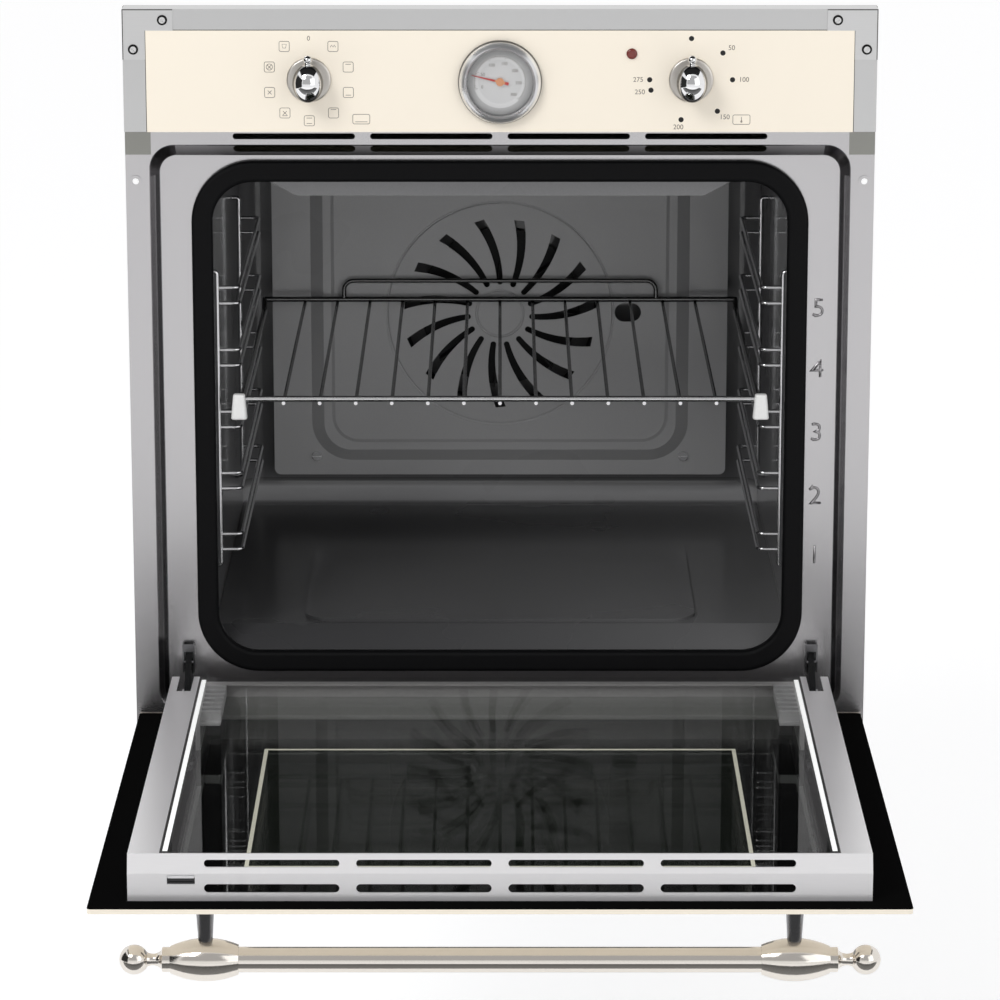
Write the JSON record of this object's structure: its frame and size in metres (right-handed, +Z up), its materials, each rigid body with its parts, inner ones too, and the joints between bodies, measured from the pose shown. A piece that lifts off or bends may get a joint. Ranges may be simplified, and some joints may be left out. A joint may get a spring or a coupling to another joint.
{
  "type": "built-in oven",
  "caption": "Built-in electric oven with a drop-down glass door, turned bar handle, knob panel with thermometer, and a fan-heated cavity with a wire shelf.",
  "frame": {"origin": "middle of the front edge of the base, in the plane of the mounting flange's front face", "axes": "+X to the right seen from the front, +Y into the oven, +Z up"},
  "size_m": [0.595, 1.029, 0.6488],
  "materials": {
    "galvanised_steel": "galvanised sheet, dull",
    "stainless_trim": "fine satin",
    "frame_steel": "bright satin sheet",
    "fascia_cream": "smooth cream enamel",
    "cavity_enamel": "grey vitreous enamel, semi-gloss",
    "chrome": "polished",
    "polished_nickel": "polished, slightly warm",
    "gasket_black": "black door seal, matt",
    "clear_glass": "clear",
    "tinted_glass": "clear pane with a dark printed border",
    "white_bumper": "white, smooth",
    "red_lens": "dark red, clear",
    "dial_grey": "light grey, satin, plain numbers",
    "needle_red": "red",
    "switch_plastic": "black moulded",
    "element_steel": "dark heat-tinted tube",
    "motor_steel": "grey",
    "mineral_wool": "pressed mineral wool"
  },
  "bodies": {
    "oven": {"left_side_cover": "galvanised_steel", "right_side_cover": "galvanised_steel", "base_tray": "galvanised_steel", "top_cover": "galvanised_steel", "rear_cover": "galvanised_steel", "cooling_duct": "galvanised_steel", "hinge_receivers": "galvanised_steel", "hinge_arms": "galvanised_steel", "hinge_latches": "galvanised_steel", "mains_inlet": "switch_plastic", "selector_switch": "switch_plastic", "thermostat": "switch_plastic", "front_frame": "frame_steel", "door_gasket": "gasket_black", "cavity_liner": "cavity_enamel", "grill_deflector": "cavity_enamel", "fan_cover": "cavity_enamel", "cavity_fasteners": "stainless_trim", "panel_trim": "stainless_trim", "corner_brackets": "stainless_trim", "convection_motor": "motor_steel", "blower_motor": "motor_steel", "grill_element": "element_steel", "ring_element": "element_steel", "lower_element": "element_steel", "lamp_glass": "clear_glass", "gauge_window": "clear_glass", "insulation": "mineral_wool", "left_shelf_ladder": "chrome", "right_shelf_ladder": "chrome", "bracket_screws": "chrome", "knob_rings": "chrome", "gauge_case": "chrome", "lamp_housing": "chrome", "control_fascia": "fascia_cream", "pilot_lamp": "red_lens", "gauge_dial": "dial_grey"},
    "door": {"door_outer_glass": "tinted_glass", "door_middle_glass": "clear_glass", "door_inner_glass": "clear_glass", "door_left_strip": "stainless_trim", "door_right_strip": "stainless_trim", "door_top_profile": "stainless_trim", "door_bottom_rail": "stainless_trim", "door_catch": "galvanised_steel", "glass_holders": "galvanised_steel", "hinge_channels": "galvanised_steel", "hinge_pins": "galvanised_steel", "handle_bar": "polished_nickel", "handle_ends": "polished_nickel", "handle_posts": "polished_nickel"},
    "selector": {"selector_knob": "chrome", "selector_spindle": "galvanised_steel"},
    "thermostat_control": {"thermostat_knob": "chrome", "thermostat_spindle": "galvanised_steel"},
    "needle": {"gauge_needle": "needle_red"},
    "fan": {"convection_fan": "galvanised_steel"},
    "blower": {"blower_wheel": "galvanised_steel"},
    "shelf": {"wire_shelf": "chrome", "shelf_caps": "white_bumper"}
  },
  "joints": [
    {"name": "door_hinge", "type": "hinge", "parent": "oven", "child": "door", "pos_m": [0, -0.014, 0.0244], "axis": [-1, 0, 0], "range_deg": [0, 90]},
    {"name": "selector_turn", "type": "hinge", "parent": "oven", "child": "selector", "pos_m": [-0.15, -0.034, 0.5395], "axis": [0, 1, 0], "continuous": true},
    {"name": "thermostat_turn", "type": "hinge", "parent": "oven", "child": "thermostat_control", "pos_m": [0.15, -0.034, 0.5395], "axis": [0, 1, 0], "range_deg": [0, 270]},
    {"name": "thermometer_needle", "type": "hinge", "parent": "oven", "child": "needle", "pos_m": [0, -0.024, 0.5377], "axis": [0, 1, 0], "range_deg": [-30, 210]},
    {"name": "convection_fan_spin", "type": "hinge", "parent": "oven", "child": "fan", "pos_m": [0, 0.46, 0.2584], "axis": [0, 1, 0], "continuous": true},
    {"name": "blower_spin", "type": "hinge", "parent": "oven", "child": "blower", "pos_m": [0, 0.33, 0.49], "axis": [0, 0, 1], "continuous": true},
    {"name": "shelf_slide", "type": "slide", "parent": "oven", "child": "shelf", "axis": [0, 1, 0], "range_m": [-0.3, 0]}
  ]
}
